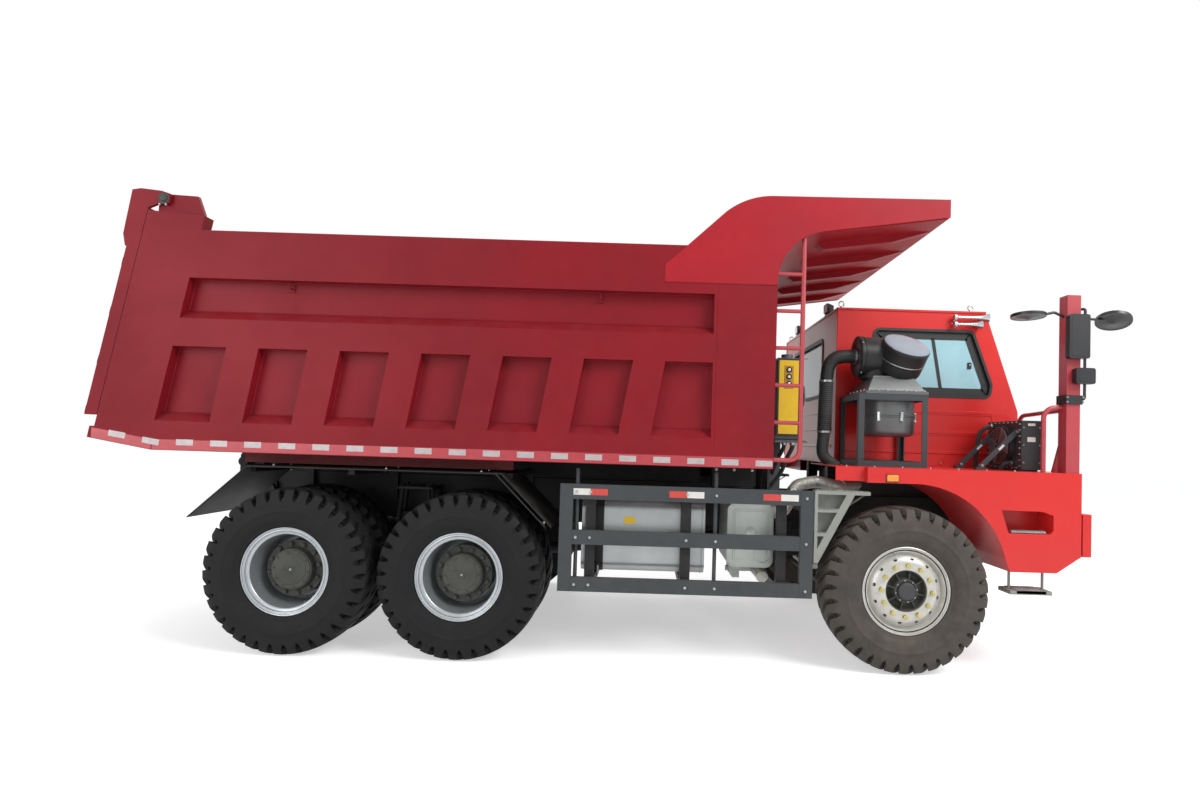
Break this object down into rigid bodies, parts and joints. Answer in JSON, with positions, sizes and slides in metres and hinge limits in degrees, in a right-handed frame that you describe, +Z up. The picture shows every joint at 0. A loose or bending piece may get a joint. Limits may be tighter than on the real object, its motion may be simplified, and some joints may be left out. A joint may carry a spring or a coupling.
{
  "type": "mining dump truck",
  "caption": "Off-road mining dump truck with a tipping bed and cab canopy, a hinged tailgate, a telescopic hoist, an offset cab, steered front wheels and twin rear wheels.",
  "frame": {"origin": "on the ground under the middle of the box round the whole truck, with the bed down and the wheels straight", "axes": "+X forward along the truck, +Y to its left, +Z up"},
  "size_m": [8.4926, 3.3071, 3.8578],
  "materials": {
    "bed_paint": "satin",
    "cab_paint": "gloss",
    "frame_paint": "satin",
    "guard_paint": "satin",
    "step_paint": "satin",
    "tank_paint": "satin",
    "muffler_steel": "satin",
    "lagging": "satin",
    "tyre_rubber": "matte",
    "wheel_paint": "satin",
    "glass": "gloss",
    "seat_cloth": "matte",
    "trim_plastic": "matte",
    "mirror_plastic": "satin",
    "filter_paint": "satin",
    "hose_rubber": "matte",
    "cooler_aluminium": "satin",
    "hoist_paint": "satin",
    "hoist_rod": "polished",
    "engine_iron": "satin"
  },
  "bodies": {
    "chassis": {"chassis_frame": "frame_paint", "front_axle": "frame_paint", "front_springs": "frame_paint", "bogie_springs": "frame_paint", "drive_axles": "engine_iron", "drive_shafts": "frame_paint", "engine_block": "engine_iron", "exhaust_pipe": "lagging", "muffler": "muffler_steel", "fuel_tank": "tank_paint", "air_tanks": "frame_paint", "battery_box": "trim_plastic", "side_guards": "guard_paint", "front_fenders": "cab_paint", "front_bumper": "cab_paint", "front_grille": "trim_plastic", "boarding_steps": "step_paint", "rear_mudguards": "bed_paint", "hoist_oil_tank": "tank_paint", "cab_shell": "cab_paint", "cab_glass": "glass", "cab_seats": "seat_cloth", "dashboard": "trim_plastic", "air_filter": "filter_paint", "filter_stand": "cab_paint", "intake_pipe": "hose_rubber", "cooler": "cooler_aluminium", "deck_rails": "guard_paint", "mirrors": "mirror_plastic"},
    "right_knuckle": {"knuckle_right": "engine_iron"},
    "left_knuckle": {"knuckle_left": "engine_iron"},
    "steering_rod": {"tie_rod": "frame_paint"},
    "front_right_wheel": {"front_right_tyre": "tyre_rubber", "front_right_rim": "wheel_paint"},
    "front_left_wheel": {"front_left_tyre": "tyre_rubber", "front_left_rim": "wheel_paint"},
    "mid_right_wheels": {"mid_right_tyres": "tyre_rubber", "mid_right_rims": "wheel_paint"},
    "mid_left_wheels": {"mid_left_tyres": "tyre_rubber", "mid_left_rims": "wheel_paint"},
    "rear_right_wheels": {"rear_right_tyres": "tyre_rubber", "rear_right_rims": "wheel_paint"},
    "rear_left_wheels": {"rear_left_tyres": "tyre_rubber", "rear_left_rims": "wheel_paint"},
    "bed": {"bed_sides": "bed_paint", "bed_front_wall": "bed_paint", "bed_floor": "bed_paint", "bed_beams": "frame_paint", "bed_canopy": "bed_paint", "bed_ladder": "guard_paint"},
    "gate": {"tailgate": "bed_paint"},
    "barrel": {"hoist_barrel": "hoist_paint"},
    "stage_1": {"hoist_stage_1": "hoist_rod"},
    "stage_2": {"hoist_stage_2": "hoist_rod"},
    "stage_3": {"hoist_stage_3": "hoist_rod"},
    "door": {"cab_door": "cab_paint", "door_glass": "glass"}
  },
  "joints": [
    {"name": "steer_right", "type": "hinge", "parent": "chassis", "child": "right_knuckle", "pos_m": [2.4442, -1.2, 0.67], "axis": [0, 0, 1], "range_deg": [-32, 32]},
    {"name": "steer_left", "type": "hinge", "parent": "chassis", "child": "left_knuckle", "pos_m": [2.4442, 1.2, 0.67], "axis": [0, 0, 1], "range_deg": [-32, 32]},
    {"name": "steering_rod_swing", "type": "hinge", "parent": "right_knuckle", "child": "steering_rod", "pos_m": [2.1142, -1.2, 0.453], "axis": [0, 0, 1], "range_deg": [-32, 32]},
    {"name": "front_right_spin", "type": "hinge", "parent": "right_knuckle", "child": "front_right_wheel", "pos_m": [2.4442, -1.45, 0.67], "axis": [0, 1, 0], "continuous": true},
    {"name": "front_left_spin", "type": "hinge", "parent": "left_knuckle", "child": "front_left_wheel", "pos_m": [2.4442, 1.45, 0.67], "axis": [0, 1, 0], "continuous": true},
    {"name": "mid_right_spin", "type": "hinge", "parent": "chassis", "child": "mid_right_wheels", "pos_m": [-1.1558, -1.23, 0.67], "axis": [0, 1, 0], "continuous": true},
    {"name": "mid_left_spin", "type": "hinge", "parent": "chassis", "child": "mid_left_wheels", "pos_m": [-1.1558, 1.23, 0.67], "axis": [0, 1, 0], "continuous": true},
    {"name": "rear_right_spin", "type": "hinge", "parent": "chassis", "child": "rear_right_wheels", "pos_m": [-2.5558, -1.23, 0.67], "axis": [0, 1, 0], "continuous": true},
    {"name": "rear_left_spin", "type": "hinge", "parent": "chassis", "child": "rear_left_wheels", "pos_m": [-2.5558, 1.23, 0.67], "axis": [0, 1, 0], "continuous": true},
    {"name": "bed_tilt", "type": "hinge", "parent": "chassis", "child": "bed", "pos_m": [-3.5058, 0, 1.5], "axis": [0, -1, 0], "range_deg": [0, 45]},
    {"name": "tailgate_swing", "type": "hinge", "parent": "bed", "child": "gate", "pos_m": [-3.6828, 0, 3.668], "axis": [0, 1, 0], "range_deg": [0, 60]},
    {"name": "hoist_swing", "type": "hinge", "parent": "chassis", "child": "barrel", "pos_m": [1.5642, 0, 1.18], "axis": [0, -1, 0], "range_deg": [0, 25.4]},
    {"name": "hoist_slide_1", "type": "slide", "parent": "barrel", "child": "stage_1", "axis": [-0.0449, 0, 0.999], "range_m": [0, 1.2464]},
    {"name": "hoist_slide_2", "type": "slide", "parent": "stage_1", "child": "stage_2", "axis": [-0.0449, 0, 0.999], "range_m": [0, 1.2464]},
    {"name": "hoist_slide_3", "type": "slide", "parent": "stage_2", "child": "stage_3", "axis": [-0.0449, 0, 0.999], "range_m": [0, 1.2464]},
    {"name": "door_swing", "type": "hinge", "parent": "chassis", "child": "door", "pos_m": [3.4582, 1.612, 2], "axis": [0, 0, -1], "range_deg": [0, 68]}
  ],
  "couplings": [
    {"joint": "steer_left", "follows": "steer_right", "ratio": 1},
    {"joint": "steering_rod_swing", "follows": "steer_right", "ratio": -1},
    {"joint": "hoist_swing", "follows": "bed_tilt", "ratio": 0.5607},
    {"joint": "hoist_slide_1", "follows": "bed_tilt", "m_per_rad": 1.5857},
    {"joint": "hoist_slide_2", "follows": "bed_tilt", "m_per_rad": 1.5857},
    {"joint": "hoist_slide_3", "follows": "bed_tilt", "m_per_rad": 1.5857}
  ]
}
